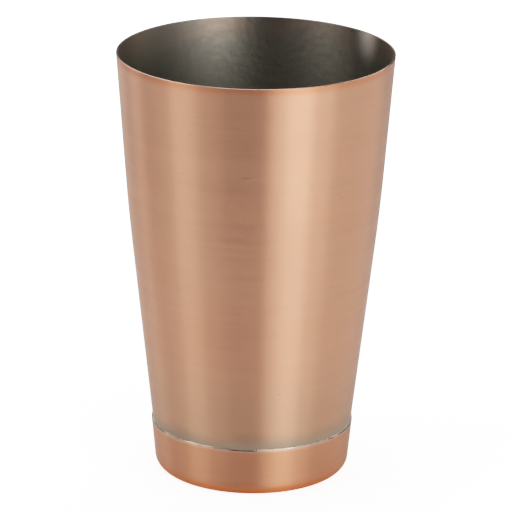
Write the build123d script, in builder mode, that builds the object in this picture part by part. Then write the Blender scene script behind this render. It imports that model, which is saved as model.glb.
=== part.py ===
"""Weighted cocktail shaker tin: a drawn steel cup with a weight disc under its floor and a cap over its foot.

Millimetres, +Z up along the tin's axis, origin on the axis at the surface that the tin stands on.
Cup, cap and bead are turned about Z from half sections on the XZ plane. Disc, bond and pad are cylinders.
"""

import os
from math import cos, radians, tan

from build123d import *

# Cup
MOUTH_D = 89.0  # across the outside of the rim
HEIGHT = 139.5  # rim above the standing surface
WALL = 0.6
RIM_ROUND = 0.25  # on both edges of the cut rim
UPPER_TAPER = 4.45  # degrees off the axis, rim to break
LOWER_TAPER = 6.5  # degrees off the axis, break to foot
BREAK_Z = 88.5  # height where the two tapers would meet
BREAK_ROUND = 700.0  # the long soft bend between the tapers
CUP_CORNER = 6.0  # outside, wall to floor

# Cap over the foot
SEAM_Z = 16.4  # height of the cap's lip
CAP_WALL = 0.4
CAP_TAPER = 5.6  # degrees off the axis
CAP_CORNER = 4.2  # outside, wall to floor
CAP_GAP = 0.02  # between lip and cup
LIP_ROUND = 0.12
DISH_D = 42.0  # shallow dish pressed up into the underside
DISH_DEPTH = 0.8
DISH_SLOPE = 3.0  # radial width of the dish's sloping step
DISH_ROUND = 1.5

# Solder bead on the lip
BEAD_WIDTH = 0.36
BEAD_HEIGHT = 0.5
BEAD_BELLY = 0.6  # share of the width and height at which its face bends

# Weight between cup and cap
PAD_D = 38.0
PAD_T = 0.5
DISC_D = 54.0
DISC_T = 3.5
DISC_CHAMFER = 0.6
BOND_D = 46.0
BOND_T = 0.2

# Stack of heights from the ground up
PAD_Z = DISH_DEPTH + CAP_WALL
DISC_Z = PAD_Z + PAD_T
BOND_Z = DISC_Z + DISC_T
CUP_Z = BOND_Z + BOND_T  # underside of the cup's floor

TRIM = 3.0  # sheet drawn past an edge before it is cut level


def slope(degrees):
    """Radius gained per millimetre of height."""
    return tan(radians(degrees))


MOUTH_R = MOUTH_D / 2
BREAK_R = MOUTH_R - (HEIGHT - BREAK_Z) * slope(UPPER_TAPER)


def cup_radius(z):
    """Outside radius of the cup's lower cone at height z."""
    return BREAK_R - (BREAK_Z - z) * slope(LOWER_TAPER)


LIP_R = cup_radius(SEAM_Z) + CAP_GAP + CAP_WALL / cos(radians(CAP_TAPER))


def cap_radius(z):
    """Outside radius of the cap's cone at height z."""
    return LIP_R - (SEAM_Z - z) * slope(CAP_TAPER)


os.makedirs("parts", exist_ok=True)

# The drawn cup: outside line from the middle of its floor up to the rim, thickened inwards, rim cut level
with BuildPart() as tin_body:
    with BuildSketch(Plane.XZ):
        with BuildLine():
            FilletPolyline(
                (0, CUP_Z),
                (cup_radius(CUP_Z), CUP_Z),
                (BREAK_R, BREAK_Z),
                (MOUTH_R + TRIM * slope(UPPER_TAPER), HEIGHT + TRIM),
                radius=(CUP_CORNER, BREAK_ROUND),
            )
            offset(amount=WALL, side=Side.LEFT)
        make_face()
        with Locations((MOUTH_R, HEIGHT)):
            Rectangle(4 * TRIM, 2 * TRIM, align=(Align.CENTER, Align.MIN), mode=Mode.SUBTRACT)
        fillet(vertices().sort_by(Axis.Y)[-2:], RIM_ROUND)
    revolve(axis=Axis.Z)
tin_body.part.label = "tin_body"

# The cap: dished floor, flat standing ring, round corner and a short wall up to the lip
with BuildPart() as base_cap:
    with BuildSketch(Plane.XZ):
        with BuildLine():
            FilletPolyline(
                (0, DISH_DEPTH),
                (DISH_D / 2, DISH_DEPTH),
                (DISH_D / 2 + DISH_SLOPE, 0),
                (cap_radius(0), 0),
                (cap_radius(SEAM_Z + TRIM), SEAM_Z + TRIM),
                radius=(DISH_ROUND, DISH_ROUND, CAP_CORNER),
            )
            offset(amount=CAP_WALL, side=Side.LEFT)
        make_face()
        with Locations((LIP_R, SEAM_Z)):
            Rectangle(4 * TRIM, 2 * TRIM, align=(Align.CENTER, Align.MIN), mode=Mode.SUBTRACT)
        fillet(vertices().group_by(Axis.Y)[-1].sort_by(Axis.X)[-1], LIP_ROUND)
    revolve(axis=Axis.Z)
base_cap.part.label = "base_cap"

# Bead of solder filling the step between the cap's lip and the cup's wall
with BuildPart() as seam_bead:
    with BuildSketch(Plane.XZ):
        with BuildLine():
            heel = (cup_radius(SEAM_Z), SEAM_Z)
            toe = (cup_radius(SEAM_Z) + BEAD_WIDTH, SEAM_Z)
            belly = (cup_radius(SEAM_Z) + BEAD_BELLY * BEAD_WIDTH, SEAM_Z + BEAD_BELLY * BEAD_HEIGHT)
            crown = (cup_radius(SEAM_Z + BEAD_HEIGHT), SEAM_Z + BEAD_HEIGHT)
            Polyline(heel, toe, belly, crown, close=True)
        make_face()
    revolve(axis=Axis.Z)
seam_bead.part.label = "seam_bead"

# Steel disc that weights the base
with BuildPart() as weight_disc:
    with Locations((0, 0, DISC_Z)):
        Cylinder(DISC_D / 2, DISC_T, align=(Align.CENTER, Align.CENTER, Align.MIN))
    chamfer(edges().filter_by(GeomType.CIRCLE), DISC_CHAMFER)
weight_disc.part.label = "weight_disc"

# Film of adhesive between the disc and the underside of the cup's floor
with BuildPart() as weight_bond:
    with Locations((0, 0, BOND_Z)):
        Cylinder(BOND_D / 2, BOND_T, align=(Align.CENTER, Align.CENTER, Align.MIN))
weight_bond.part.label = "weight_bond"

# Cushion pad between the disc and the cap's raised floor
with BuildPart() as base_pad:
    with Locations((0, 0, PAD_Z)):
        Cylinder(PAD_D / 2, PAD_T, align=(Align.CENTER, Align.CENTER, Align.MIN))
base_pad.part.label = "base_pad"

export_step(tin_body.part, "parts/tin_body.step")
export_step(base_cap.part, "parts/base_cap.step")
export_step(seam_bead.part, "parts/seam_bead.step")
export_step(weight_disc.part, "parts/weight_disc.step")
export_step(weight_bond.part, "parts/weight_bond.step")
export_step(base_pad.part, "parts/base_pad.step")
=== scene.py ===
"""Looks of the weighted cocktail shaker tin: brushed copper outside, dark satin steel inside, a solder seam.

Metres, +Z up, the tin's axis on Z and its foot on z = 0. Azimuths are measured round that axis from the side
that faces the camera (-Y), positive towards +X.
"""

from math import atan2, ceil, cos, exp, pi, radians, sin, tan

import bpy
from mathutils import Matrix, Vector, noise


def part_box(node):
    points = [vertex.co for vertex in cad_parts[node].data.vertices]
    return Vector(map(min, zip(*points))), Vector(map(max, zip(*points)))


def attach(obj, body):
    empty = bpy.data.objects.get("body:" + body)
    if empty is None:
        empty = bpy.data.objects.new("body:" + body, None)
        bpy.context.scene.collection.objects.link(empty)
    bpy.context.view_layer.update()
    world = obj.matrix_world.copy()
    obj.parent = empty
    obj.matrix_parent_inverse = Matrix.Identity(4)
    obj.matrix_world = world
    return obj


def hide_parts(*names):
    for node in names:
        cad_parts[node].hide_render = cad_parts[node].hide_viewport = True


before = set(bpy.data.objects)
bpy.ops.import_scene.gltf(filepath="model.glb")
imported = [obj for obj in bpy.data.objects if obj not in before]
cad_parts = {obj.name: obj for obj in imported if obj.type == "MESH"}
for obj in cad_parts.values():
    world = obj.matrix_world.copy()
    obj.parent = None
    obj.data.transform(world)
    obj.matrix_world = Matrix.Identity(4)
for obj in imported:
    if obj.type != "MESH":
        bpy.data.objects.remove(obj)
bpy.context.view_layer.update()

MM = 0.001

# Heights that the frame gives
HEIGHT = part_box("tin_body")[1].z
CUP_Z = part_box("tin_body")[0].z
SEAM_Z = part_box("base_cap")[1].z

# The tin's own dimensions
MOUTH_R = 44.5 * MM
WALL = 0.6 * MM
UPPER_TAPER = radians(4.45)
LOWER_TAPER = radians(6.5)
BREAK_Z = 88.5 * MM
BREAK_ROUND = 700 * MM
CUP_CORNER = 6 * MM
RIM_ROUND = 0.25 * MM
CAP_WALL = 0.4 * MM
CAP_TAPER = radians(5.6)
CAP_CORNER = 4.2 * MM
CAP_GAP = 0.02 * MM
LIP_ROUND = 0.12 * MM
BEAD_WIDTH = 0.36 * MM
BEAD_HEIGHT = 0.5 * MM
DISH_R = 21 * MM
DISH_DEPTH = 0.8 * MM
DISH_SLOPE = 3 * MM
DISH_ROUND = 1.5 * MM

AROUND = 256  # faces round each turned piece
STEP = 4 * MM  # longest face along a straight wall
HOLD = 0.15 * MM  # short face that keeps a corner's shading off the wall beside it
ARC_STEP = radians(8)  # turn between two points of a rounded corner

# Camera
CAMERA_ELEVATION = radians(18.1)
CAMERA_DISTANCE = 1.3
CAMERA_LENS = 283  # millimetres, on a 36 mm sensor
CAMERA_ROLL = radians(0.67)
CAMERA_TARGET_Z = 70 * MM
CAMERA_AIM = (0.76 * MM, 1.15 * MM)  # how far right of and above the target it points

BREAK_R = MOUTH_R - (HEIGHT - BREAK_Z) * tan(UPPER_TAPER)


def cup_radius(z):
    """Outside radius of the cup's lower cone at height z."""
    return BREAK_R - (BREAK_Z - z) * tan(LOWER_TAPER)


LIP_R = cup_radius(SEAM_Z) + CAP_GAP + CAP_WALL / cos(CAP_TAPER)


def cap_radius(z):
    """Outside radius of the cap's cone at height z."""
    return LIP_R - (SEAM_Z - z) * tan(CAP_TAPER)


# ---------------------------------------------------------------- turned shapes


def right_of(way):
    return Vector((way.y, -way.x))


def straight(start, end):
    """(point, outward side) pairs along a straight run, with a short face beside each end."""
    run = end - start
    side = right_of(run.normalized())
    if run.length < 4 * HOLD:
        return [(start, side), (end, side)]
    count = max(1, ceil(run.length / STEP))
    shares = [0, HOLD / run.length, *(i / count for i in range(1, count)), 1 - HOLD / run.length, 1]
    return [(start + run * share, side) for share in shares]


def rounded(corners, radii):
    """(point, outward side) pairs along a line of (radius, height) corners, with each inner corner rounded.

    The outward side is the right-hand side of the line.
    """
    points = [Vector(c) for c in corners]
    line = []
    start = points[0]
    for before, corner, after, radius in zip(points, points[1:], points[2:], radii):
        way_in, way_out = (corner - before).normalized(), (after - corner).normalized()
        turn = atan2(way_in.x * way_out.y - way_in.y * way_out.x, way_in.dot(way_out))
        bend = 1 if turn > 0 else -1
        reach = radius * tan(abs(turn) / 2)
        side = right_of(way_in)
        centre = corner - way_in * reach - side * radius * bend
        line += straight(start, corner - way_in * reach)
        count = max(6, ceil(abs(turn) / ARC_STEP))
        for i in range(1, count):
            turned = Matrix.Rotation(turn * i / count, 2) @ side
            line.append((centre + turned * radius * bend, turned))
        start = corner + way_out * reach
    return line + straight(start, points[-1])


def inset(line, amount):
    """The points of a line moved to its inner side."""
    return [point - side * amount for point, side in line]


def turned(name, profile, materials, material_of):
    """A closed profile of (radius, height) points turned about Z.

    Points on the axis become one vertex. material_of(i) says which material the faces after point i get.
    """
    vertices, rings, faces, slots = [], [], [], []
    for point in profile:
        on_axis = point.x < 1e-9
        count = 1 if on_axis else AROUND
        rings.append([len(vertices) + i % count for i in range(AROUND)])
        for i in range(count):
            angle = 2 * pi * i / AROUND
            vertices.append((point.x * sin(angle), -point.x * cos(angle), point.y))
    for k, lower in enumerate(rings):
        upper = rings[(k + 1) % len(rings)]
        if len({*lower, *upper}) <= 2:
            continue
        for i in range(AROUND):
            j = (i + 1) % AROUND
            face = list(dict.fromkeys((lower[i], lower[j], upper[j], upper[i])))
            faces.append(face)
            slots.append(material_of(k))
    return mesh_piece(name, vertices, faces, materials, slots)


def mesh_piece(name, vertices, faces, materials, slots=None):
    mesh = bpy.data.meshes.new(name)
    mesh.from_pydata(vertices, [], faces)
    for material in materials:
        mesh.materials.append(material)
    if slots:
        mesh.polygons.foreach_set("material_index", slots)
    mesh.polygons.foreach_set("use_smooth", [True] * len(mesh.polygons))
    mesh.validate()
    piece = bpy.data.objects.new(name, mesh)
    bpy.context.scene.collection.objects.link(piece)
    return piece


def cup(copper, steel):
    """The drawn cup: outside wall, rounded rim, inside wall, floor."""
    top = HEIGHT - RIM_ROUND - WALL / 2 * sin(UPPER_TAPER)
    top_r = MOUTH_R - (HEIGHT - top) * tan(UPPER_TAPER)
    foot = (cup_radius(CUP_Z), CUP_Z)
    outside = rounded(
        [(0, CUP_Z), foot, (BREAK_R, BREAK_Z), (top_r, top)],
        [CUP_CORNER, BREAK_ROUND],
    )
    inside = inset(outside, WALL)
    edge, side = outside[-1]
    middle = edge - side * WALL / 2
    up = Vector((-side.y, side.x))
    rim_steps = 10
    rim = []
    for i in range(1, rim_steps):
        angle = pi * i / rim_steps
        rim.append(middle + side * WALL / 2 * cos(angle) + up * RIM_ROUND * sin(angle))
    profile = [point for point, _ in outside] + rim + inside[::-1]
    last_copper = len(outside) + rim_steps // 2
    return turned("cup", profile, [copper, steel], lambda k: 0 if k < last_copper else 1)


def cap(copper):
    """The cap over the foot: dished underside, standing ring, round corner, wall and lip."""
    lip = (cap_radius(SEAM_Z), SEAM_Z)
    lip_inner = (cap_radius(SEAM_Z) - CAP_WALL / cos(CAP_TAPER), SEAM_Z)
    corners = [(0, DISH_DEPTH), (DISH_R, DISH_DEPTH), (DISH_R + DISH_SLOPE, 0), (cap_radius(0), 0), lip]
    radii = [DISH_ROUND, DISH_ROUND, CAP_CORNER]
    outside = rounded([*corners, lip_inner], [*radii, LIP_ROUND])
    inside = inset(rounded(corners, radii), CAP_WALL)[:-2]
    profile = [point for point, _ in outside] + inside[::-1]
    return turned("foot_cap", profile, [copper], lambda k: 0)


def solder_bead(solder):
    """The bead in the step between lip and cup: low, uneven, and rippled where the solder ran on."""
    around, across = 1080, 7
    ripple_pitch, ripple_height = 0.75 * MM, 0.05 * MM
    start_azimuth, start_reach = radians(5), radians(4)
    sink = 0.03 * MM
    heel_r = cup_radius(SEAM_Z)
    vertices, faces = [], []
    for i in range(around):
        angle = 2 * pi * i / around
        spot = Vector((sin(angle), cos(angle), 0))
        swell = noise.noise(spot * 6)
        creep = noise.noise(spot * 6 + Vector((0, 0, 9)))
        patch = max(0, noise.noise(spot * 3 + Vector((0, 0, 4))) + 0.1)
        away = (angle + pi) % (2 * pi) - pi - start_azimuth
        patch += 1.2 * exp(-((away / start_reach) ** 2))
        ripple = ripple_height * patch * sin(angle * heel_r / ripple_pitch * 2 * pi + 3 * swell)
        width = BEAD_WIDTH * (0.72 + 0.3 * swell) + ripple
        height = BEAD_HEIGHT * (0.62 + 0.4 * creep) + ripple
        section = [(heel_r - sink, SEAM_Z - sink)]
        for k in range(across):
            share = pi / 2 * k / (across - 1)
            z = SEAM_Z - sink + (height + sink) * sin(share)
            section.append((cup_radius(z) - sink + (width + sink) * cos(share), z))
        vertices += [(r * sin(angle), -r * cos(angle), z) for r, z in section]
    count = across + 1
    for i in range(around):
        here, there = i * count, (i + 1) % around * count
        for k in range(count):
            j = (k + 1) % count
            faces.append((here + k, there + k, there + j, here + j))
    return mesh_piece("solder_bead", vertices, faces, [solder])


# ---------------------------------------------------------------- materials


class Shader:
    """A material's node tree, with short calls for what its nodes do."""

    def __init__(self, name, color, roughness, metallic):
        self.material = bpy.data.materials.new(name)
        self.material.use_nodes = True
        self.tree = self.material.node_tree
        self.surface = self.tree.nodes["Principled BSDF"]
        self.set("Base Color", (*color, 1))
        self.set("Roughness", roughness)
        self.set("Metallic", metallic)

    def put(self, socket, value):
        if isinstance(value, bpy.types.NodeSocket):
            self.tree.links.new(value, socket)
        else:
            socket.default_value = value

    def set(self, name, value):
        self.put(self.surface.inputs[name], value)

    def node(self, kind, *values, **settings):
        """A node with its first inputs given in order, and its settings by name."""
        made = self.tree.nodes.new("ShaderNode" + kind)
        for key, value in settings.items():
            setattr(made, key, value)
        for socket, value in zip(made.inputs, values):
            self.put(socket, value)
        return made

    def math(self, operation, *values):
        return self.node("Math", *values, operation=operation).outputs[0]

    def fade(self, value, start, end, low=0.0, high=1.0):
        """low before start, high after end, and a smooth change between them."""
        made = self.node("MapRange", value, start, end, low, high, interpolation_type="SMOOTHSTEP")
        return made.outputs[0]

    def blend(self, share, first, second):
        """The first colour, turning into the second as the share goes from 0 to 1."""
        made = self.node("Mix", data_type="RGBA")
        for name, value in (("Factor_Float", share), ("A_Color", first), ("B_Color", second)):
            socket = next(i for i in made.inputs if i.identifier == name)
            self.put(socket, (*value, 1) if isinstance(value, tuple) and len(value) == 3 else value)
        return next(o for o in made.outputs if o.identifier == "Result_Color")

    def place(self):
        """x, y and z of the surface, and its way along the turned profile."""
        x, y, z = self.node("SeparateXYZ", self.node("TexCoord").outputs["Object"]).outputs
        square = self.math("ADD", self.math("MULTIPLY", x, x), self.math("MULTIPLY", y, y))
        self.x, self.y, self.z = x, y, z
        self.radius = self.math("SQRT", square)
        self.along = self.math("ADD", z, self.radius)
        self.azimuth = self.math("ARCTAN2", x, self.math("MULTIPLY", y, -1.0))

    def streaks(self, length, width, detail=2.0, seed=0.0):
        """Noise from 0 to 1, drawn out round the axis to streaks of that length and width."""
        grain = self.node(
            "CombineXYZ",
            self.math("MULTIPLY_ADD", self.x, 1 / length, seed),
            self.math("DIVIDE", self.y, length),
            self.math("DIVIDE", self.along, width),
        )
        made = self.node("TexNoise", noise_dimensions="3D")
        self.put(made.inputs["Vector"], grain.outputs[0])
        self.put(made.inputs["Scale"], 1.0)
        self.put(made.inputs["Detail"], detail)
        return made.outputs["Fac"]

    def clouds(self, size, detail=2.0):
        """Noise from 0 to 1 in soft patches of that size."""
        made = self.node("TexNoise", noise_dimensions="3D")
        self.put(made.inputs["Vector"], self.node("TexCoord").outputs["Object"])
        self.put(made.inputs["Scale"], 1 / size)
        self.put(made.inputs["Detail"], detail)
        return made.outputs["Fac"]

    def bump(self, height, distance):
        made = self.node("Bump")
        self.put(made.inputs["Height"], height)
        self.put(made.inputs["Distance"], distance)
        self.set("Normal", made.outputs[0])

    def brushed_round(self, anisotropic):
        """The highlight spreads across brush lines that run round the axis."""
        tangent = self.node("Tangent", direction_type="RADIAL", axis="Z")
        self.set("Anisotropic", anisotropic)
        self.set("Anisotropic Rotation", 0.25)
        self.set("Tangent", tangent.outputs[0])

    def spot(self, azimuth, z, half_width, half_height):
        """1 at a place on the wall, fading to 0 at the edge of an oval round it."""
        turn = self.math("SUBTRACT", self.azimuth, radians(azimuth))
        across = self.math("MULTIPLY", turn, MOUTH_R / half_width)
        over = self.math("DIVIDE", self.math("SUBTRACT", self.z, z), half_height)
        square = self.math("ADD", self.math("MULTIPLY", across, across), self.math("MULTIPLY", over, over))
        return self.fade(self.math("SQRT", square), 0.0, 1.0, 1.0, 0.0)


COPPER = (0.90, 0.46, 0.295)
COPPER_DEEP = (0.86, 0.395, 0.24)
COPPER_UNDER_RIM = (0.86, 0.33, 0.18)
COPPER_EDGE = (0.82, 0.56, 0.43)
COPPER_BROWNED = (0.70, 0.42, 0.28)
COPPER_OXIDE = (0.35, 0.31, 0.23)
SCUFF_DARK = (0.42, 0.2, 0.13)
SCUFF_BRIGHT = (0.97, 0.66, 0.5)

CAP_COPPER = (0.84, 0.40, 0.24)
CAP_COPPER_DEEP = (0.82, 0.34, 0.18)
# painted reflection on the cap's lower corner
CAP_CORNER_PAINTED_REFLECTION = (1.0, 0.32, 0.09)
# painted highlight along the cap's lip
CAP_LIP_PAINTED_HIGHLIGHT = (0.92, 0.60, 0.47)
CAP_RING = (0.5, 0.36, 0.29)
CAP_TARNISH = (0.5, 0.27, 0.17)
# burnt flux with painted shade in the joint, on the cap's lip
FLUX_AND_SHADE_ON_COPPER = (0.16, 0.09, 0.05)

STEEL_DARK = (0.30, 0.28, 0.235)
STEEL_LIGHT = (0.34, 0.32, 0.275)
STEEL_LINES = (0.24, 0.22, 0.18)
# painted highlight on the inside wall near the rim
STEEL_PAINTED_HIGHLIGHT = (0.95, 0.91, 0.83)
STEEL_COPPERED = (0.5, 0.33, 0.24)
STEEL_EDGE = (0.40, 0.36, 0.31)

SOLDER_BRIGHT = (0.82, 0.76, 0.65)
SOLDER_DULL = (0.50, 0.45, 0.35)
# burnt flux with painted shade in the joint, at the bead's foot
FLUX_AND_SHADE_ON_SOLDER = (0.12, 0.08, 0.05)

DISC_STEEL = (0.45, 0.45, 0.46)
DISC_SCALE = (0.3, 0.27, 0.25)
EPOXY = (0.72, 0.62, 0.42)
EPOXY_THICK = (0.6, 0.5, 0.3)
RUBBER = (0.05, 0.05, 0.05)
RUBBER_DUSTY = (0.09, 0.09, 0.09)

# Short marks on the front of the cup: azimuth, height, half their length and half their width
SCUFFS = (
    (-3.4, 110.2 * MM, 4.8 * MM, 0.28 * MM),
    (14.7, 35.9 * MM, 1.0 * MM, 0.3 * MM),
    (-32.1, 109.6 * MM, 1.0 * MM, 0.2 * MM),
    (41.2, 101.0 * MM, 1.0 * MM, 0.22 * MM),
    (-28.0, 123.0 * MM, 0.8 * MM, 0.25 * MM),
    (25.1, 106.6 * MM, 0.8 * MM, 0.25 * MM),
)


def brushed_copper(name, color, deep):
    """Copper plate with fine brush lines round it, slightly cloudy with handling."""
    shader = Shader(name, color, 0.4, 1.0)
    shader.place()
    shader.brushed_round(0.95)
    fine = shader.streaks(30 * MM, 0.22 * MM, 3.0)
    broad = shader.streaks(90 * MM, 1.6 * MM, 2.0, 5.0)
    lines = shader.math("ADD", shader.math("MULTIPLY", fine, 0.6), shader.math("MULTIPLY", broad, 0.4))
    worn = shader.fade(shader.clouds(28 * MM), 0.35, 0.75, 0.0, 0.35)
    tone = shader.blend(worn, color, deep)
    dark = tuple(c * 0.9 for c in color)
    tone = shader.blend(shader.fade(lines, 0.35, 0.65, 0.45, 0.0), tone, dark)
    shader.set("Roughness", shader.fade(lines, 0.3, 0.7, 0.40, 0.34))
    shader.bump(lines, 0.003 * MM)
    return shader, tone


def cup_copper():
    shader, tone = brushed_copper("copper_outside", COPPER, COPPER_DEEP)
    # Solder heat has browned the plate far up from the seam
    over_seam = shader.math("SUBTRACT", shader.z, SEAM_Z)
    browned = shader.fade(over_seam, 0.0, 36 * MM, 0.75, 0.0)
    tone = shader.blend(browned, tone, COPPER_BROWNED)
    # Beside the seam it has left a matt oxide, higher up on some sides than on others
    reach = shader.fade(shader.clouds(30 * MM, 1.0), 0.3, 0.7, 4 * MM, 7 * MM)
    oxide = shader.fade(shader.math("DIVIDE", over_seam, reach), 0.0, 1.0, 0.75, 0.0)
    tone = shader.blend(oxide, tone, COPPER_OXIDE)
    # An oxide reflects less like a metal
    shader.set("Metallic", shader.fade(over_seam, 0.5 * MM, 4 * MM, 0.55, 1.0))
    # The plate is deeper just under the rim, and worn pale on the rim's edge
    under_rim = shader.fade(shader.z, HEIGHT - 3 * MM, HEIGHT - 1 * MM)
    tone = shader.blend(shader.math("MULTIPLY", under_rim, 0.8), tone, COPPER_UNDER_RIM)
    edge = shader.fade(shader.z, HEIGHT - 0.2 * MM, HEIGHT - 0.05 * MM)
    tone = shader.blend(edge, tone, COPPER_EDGE)
    for mark in SCUFFS:
        tone = shader.blend(shader.math("MULTIPLY", shader.spot(*mark), 0.6), tone, SCUFF_DARK)
    # The longest scuff has a bright lower edge
    lower_edge = shader.spot(-0.5, 109.85 * MM, 2.4 * MM, 0.22 * MM)
    tone = shader.blend(shader.math("MULTIPLY", lower_edge, 0.5), tone, SCUFF_BRIGHT)
    shader.set("Base Color", tone)
    return shader.material


def flux_and_joint_shade(shader):
    """Burnt flux and painted shade in the joint: 1 where they are thickest, in patches round the seam."""
    patches = shader.fade(shader.clouds(7 * MM, 3.0), 0.56, 0.72)
    for azimuth, reach in ((-5, 10), (68, 12)):
        away = shader.math("ABSOLUTE", shader.math("SUBTRACT", shader.azimuth, radians(azimuth)))
        stretch = shader.fade(away, radians(reach / 2), radians(reach), 1.0, 0.0)
        patches = shader.math("MAXIMUM", patches, stretch)
    return patches


def cap_copper():
    shader, tone = brushed_copper("copper_cap", CAP_COPPER, CAP_COPPER_DEEP)
    # Painted reflection: the corner under the wall is painted the deepest, most saturated copper
    low = shader.fade(shader.z, 0.5 * MM, 5 * MM, 0.95, 0.0)
    corner = shader.fade(shader.radius, 26 * MM, 29 * MM)
    tone = shader.blend(shader.math("MULTIPLY", low, corner), tone, CAP_CORNER_PAINTED_REFLECTION)
    # The ring that it stands on is scuffed, and the dish inside the ring has tarnished
    dish = shader.fade(shader.radius, DISH_R - 1 * MM, DISH_R + 1 * MM, 1.0, 0.0)
    tarnish = shader.fade(shader.clouds(9 * MM, 4.0), 0.35, 0.7, 0.15, 0.6)
    underneath = shader.fade(shader.z, 1.0 * MM, 1.3 * MM, 1.0, 0.0)
    dull = shader.math("MULTIPLY", shader.math("MULTIPLY", dish, tarnish), underneath)
    tone = shader.blend(dull, tone, CAP_TARNISH)
    standing = shader.fade(shader.z, 0.02 * MM, 0.15 * MM, 1.0, 0.0)
    ring = shader.math("MULTIPLY", standing, shader.math("SUBTRACT", 1.0, dish))
    scuffed = shader.fade(shader.streaks(6 * MM, 0.5 * MM, 4.0, 2.0), 0.4, 0.6, 0.2, 0.85)
    tone = shader.blend(shader.math("MULTIPLY", ring, scuffed), tone, CAP_RING)
    # The lip carries a painted highlight that makes it lighter all round, and burnt flux with painted joint
    # shade darkens it in places
    painted_highlight = shader.fade(shader.z, SEAM_Z - 1.2 * MM, SEAM_Z - 0.2 * MM, 0.0, 0.65)
    tone = shader.blend(painted_highlight, tone, CAP_LIP_PAINTED_HIGHLIGHT)
    lip = shader.fade(shader.z, SEAM_Z - 0.35 * MM, SEAM_Z - 0.15 * MM)
    tone = shader.blend(shader.math("MULTIPLY", lip, flux_and_joint_shade(shader)), tone, FLUX_AND_SHADE_ON_COPPER)
    shader.set("Base Color", tone)
    return shader.material


def satin_steel():
    shader = Shader("steel_inside", STEEL_LIGHT, 0.42, 1.0)
    shader.place()
    shader.brushed_round(0.5)
    lines = shader.streaks(20 * MM, 0.4 * MM, 3.0)
    cloud = shader.clouds(9 * MM, 3.0)
    dapple = shader.clouds(2.5 * MM, 1.0)
    tone = shader.blend(shader.fade(cloud, 0.3, 0.7), STEEL_DARK, STEEL_LIGHT)
    tone = shader.blend(shader.fade(lines, 0.35, 0.65, 0.2, 0.0), tone, STEEL_LINES)
    # A painted highlight: a spot near the rim is made bright and matt
    painted_highlight = shader.spot(124, 139.5 * MM, 8 * MM, 12 * MM)
    tone = shader.blend(painted_highlight, tone, STEEL_PAINTED_HIGHLIGHT)
    shader.set("Metallic", shader.math("MULTIPLY_ADD", painted_highlight, -0.9, 1.0))
    # Some copper has crept over the rim on to the steel
    crept = shader.fade(shader.z, HEIGHT - 11 * MM, HEIGHT - 1 * MM)
    crept = shader.math("MULTIPLY", crept, shader.fade(shader.clouds(16 * MM), 0.35, 0.65, 0.1, 0.4))
    tone = shader.blend(crept, tone, STEEL_COPPERED)
    edge = shader.fade(shader.z, HEIGHT - 0.3 * MM, HEIGHT - 0.1 * MM)
    tone = shader.blend(edge, tone, STEEL_EDGE)
    shader.set("Base Color", tone)
    shader.set("Roughness", shader.fade(cloud, 0.3, 0.7, 0.43, 0.37))
    rough = shader.math("MULTIPLY_ADD", dapple, 0.08 * MM, shader.math("MULTIPLY", lines, 0.003 * MM))
    shader.bump(rough, 1.0)
    return shader.material


def solder():
    shader = Shader("solder", SOLDER_BRIGHT, 0.3, 1.0)
    shader.place()
    dull = shader.fade(shader.clouds(6 * MM, 4.0), 0.4, 0.62)
    tone = shader.blend(dull, SOLDER_BRIGHT, SOLDER_DULL)
    # Burnt flux and painted joint shade darken the bead's foot in patches
    low = shader.fade(shader.z, SEAM_Z - 0.02 * MM, SEAM_Z + 0.14 * MM, 1.0, 0.0)
    tone = shader.blend(shader.math("MULTIPLY", low, flux_and_joint_shade(shader)), tone, FLUX_AND_SHADE_ON_SOLDER)
    shader.set("Base Color", tone)
    shader.set("Roughness", shader.fade(shader.clouds(2 * MM), 0.3, 0.7, 0.22, 0.42))
    shader.bump(shader.clouds(0.7 * MM, 3.0), 0.02 * MM)
    return shader.material


def hidden_material(name, first, second, size, roughness, metallic):
    """A material for the sealed inner pieces: two tones in patches, with a matching grain."""
    shader = Shader(name, first, roughness, metallic)
    patches = shader.fade(shader.clouds(size, 4.0), 0.35, 0.65)
    shader.set("Base Color", shader.blend(patches, first, second))
    shader.set("Roughness", shader.fade(patches, 0.0, 1.0, roughness, roughness + 0.1))
    shader.bump(patches, 0.02 * MM)
    return shader.material


# ---------------------------------------------------------------- studio

FILM_KNEE = 0.25  # where the film's response leaves the straight line
FILM_SHOULDER = 0.85  # how hard it bends over
FILM_BRIGHTEST = 3.0


def film(x):
    """A film's shoulder: straight up to the knee, then bending over towards white."""
    over = max(0, x - FILM_KNEE)
    return min(x, FILM_KNEE) + over / (1 + over * FILM_SHOULDER)


def film_curve():
    settings = bpy.context.scene.view_settings
    settings.view_transform = "Standard"
    settings.use_curve_mapping = True
    mapping = settings.curve_mapping
    mapping.white_level = (FILM_BRIGHTEST,) * 3
    curve = mapping.curves[3]
    curve.points[0].location = (0, 0)
    curve.points[1].location = (1, film(FILM_BRIGHTEST))
    for x in (0.12, FILM_KNEE, 0.32, 0.44, 0.6, 0.8, 1.1, 1.5, 2.0, 2.5):
        curve.points.new(x / FILM_BRIGHTEST, film(x))
    mapping.update()


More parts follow.
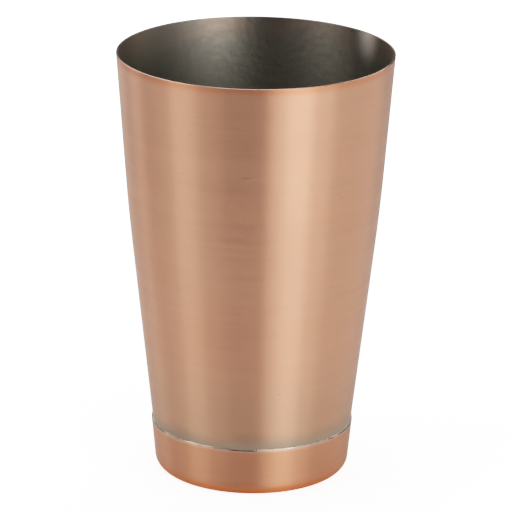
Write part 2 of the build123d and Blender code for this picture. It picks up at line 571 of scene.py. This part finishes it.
# Softboxes: azimuth, elevation, width, height and radiance, which goes in half steps
SOFTBOXES = {
    "key_left": (18, 12, 0.25, 0.60, 3.0),
    "key": (36, 12, 0.50, 0.60, 5.5),
    "key_right": (57, 12, 0.40, 0.60, 2.5),
    "right_near": (78, 12, 0.50, 0.60, 1.0),
    "right_far": (99, 12, 0.40, 0.60, 1.0),
    "right_back": (117, 12, 0.40, 0.60, 1.0),
    "left_inner": (-36, 12, 0.40, 0.60, 0.5),
    "left": (-60, 12, 0.50, 0.60, 1.5),
    "left_top": (-60, 40, 0.50, 0.60, 1.0),
    "left_high": (-84, 40, 0.50, 0.60, 2.5),
    "left_back": (-114, 12, 0.30, 0.60, 1.0),
    "left_far": (-145, 12, 0.50, 0.60, 0.5),
    "back_left": (-138, 40, 0.50, 0.60, 1.0),
    "back_left_far": (-165, 40, 0.60, 0.60, 2.5),
    "back_right": (150, 40, 0.40, 0.60, 3.0),
    "top": (0, 90, 0.80, 0.80, 2.5),
}
SOFTBOX_DISTANCE = 1.2


def softbox(name, azimuth, elevation, width, height, radiance):
    data = bpy.data.lights.new(name, "AREA")
    data.shape = "RECTANGLE"
    data.size, data.size_y = width, height
    data.energy = radiance * pi * width * height
    light = bpy.data.objects.new(name, data)
    bpy.context.scene.collection.objects.link(light)
    a, e = radians(azimuth), radians(elevation)
    away = Vector((sin(a) * cos(e), -cos(a) * cos(e), sin(e)))
    light.location = Vector((0, 0, HEIGHT / 2)) + away * SOFTBOX_DISTANCE
    light.rotation_mode = "QUATERNION"
    light.rotation_quaternion = away.to_track_quat("Z", "Y")
    light.visible_camera = False
    return light


def camera():
    data = bpy.data.cameras.new("camera")
    data.lens = CAMERA_LENS
    made = bpy.data.objects.new("camera", data)
    bpy.context.scene.collection.objects.link(made)
    back = Vector((0, -cos(CAMERA_ELEVATION), sin(CAMERA_ELEVATION)))
    right = Vector((1, 0, 0))
    up = back.cross(right)
    aim = Vector((0, 0, CAMERA_TARGET_Z)) + right * CAMERA_AIM[0] + up * CAMERA_AIM[1]
    roll = Matrix.Rotation(CAMERA_ROLL, 3, back)
    made.rotation_mode = "QUATERNION"
    made.rotation_quaternion = (roll @ back.to_track_quat("Z", "Y").to_matrix()).to_quaternion()
    made.location = aim + back * CAMERA_DISTANCE
    bpy.context.scene.camera = made


FLOOR_WHITE = (0.9, 0.9, 0.9)
FLOOR_HALF = 6
FLOOR_FRONT = 0.5  # how far the reflected floor comes towards the camera
GLOW_NEAR, GLOW_FAR = 1.75, 2.7  # the seen floor's glow beside the tin and away from it
GLOW_START, GLOW_END = 0.12, 0.5  # distances from the axis between which it changes
WORLD_GLOW = 3.5  # the backdrop's, which only the camera sees


def floor_sheet(name, z, front, material):
    mesh = bpy.data.meshes.new(name)
    h = FLOOR_HALF
    mesh.from_pydata([(-h, -front, z), (h, -front, z), (h, h, z), (-h, h, z)], [], [(0, 1, 2, 3)])
    mesh.materials.append(material)
    made = bpy.data.objects.new(name, mesh)
    bpy.context.scene.collection.objects.link(made)
    return made


def studio():
    """A light table that looks white to the camera, and whose white top the metal reflects."""
    seen = Shader("floor_seen", FLOOR_WHITE, 0.9, 0.0)
    seen.set("Emission Color", (1, 1, 1, 1))
    seen.place()
    seen.set("Emission Strength", seen.fade(seen.along, GLOW_START, GLOW_END, GLOW_NEAR, GLOW_FAR))
    table = floor_sheet("floor_seen", 0, FLOOR_HALF, seen.material)
    table.visible_glossy = table.visible_diffuse = table.visible_shadow = False
    white = Shader("floor_reflected", FLOOR_WHITE, 0.9, 0.0)
    top = floor_sheet("floor_reflected", -0.1 * MM, FLOOR_FRONT, white.material)
    top.visible_camera = False
    world = bpy.data.worlds.new("studio")
    world.use_nodes = True
    tree = world.node_tree
    background = tree.nodes["Background"]
    background.inputs["Color"].default_value = (1, 1, 1, 1)
    path = tree.nodes.new("ShaderNodeLightPath")
    strength = tree.nodes.new("ShaderNodeMath")
    strength.operation = "MULTIPLY"
    strength.inputs[1].default_value = WORLD_GLOW
    tree.links.new(path.outputs["Is Camera Ray"], strength.inputs[0])
    tree.links.new(strength.outputs[0], background.inputs["Strength"])
    bpy.context.scene.world = world
    for name, box in SOFTBOXES.items():
        softbox(name, *box)
    film_curve()


# ---------------------------------------------------------------- the tin


def place(piece, node):
    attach(piece, "root")
    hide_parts(node)


def dress(node, material):
    """A sealed inner piece keeps its CAD shape and gets a better material."""
    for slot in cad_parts[node].material_slots:
        slot.link = "OBJECT"
        slot.material = material


camera()
place(cup(cup_copper(), satin_steel()), "tin_body")
place(cap(cap_copper()), "base_cap")
place(solder_bead(solder()), "seam_bead")
dress("weight_disc", hidden_material("disc_steel", DISC_STEEL, DISC_SCALE, 9 * MM, 0.4, 1.0))
dress("weight_bond", hidden_material("epoxy", EPOXY, EPOXY_THICK, 5 * MM, 0.25, 0.0))
dress("base_pad", hidden_material("foam_rubber", RUBBER, RUBBER_DUSTY, 1 * MM, 0.8, 0.0))
studio()
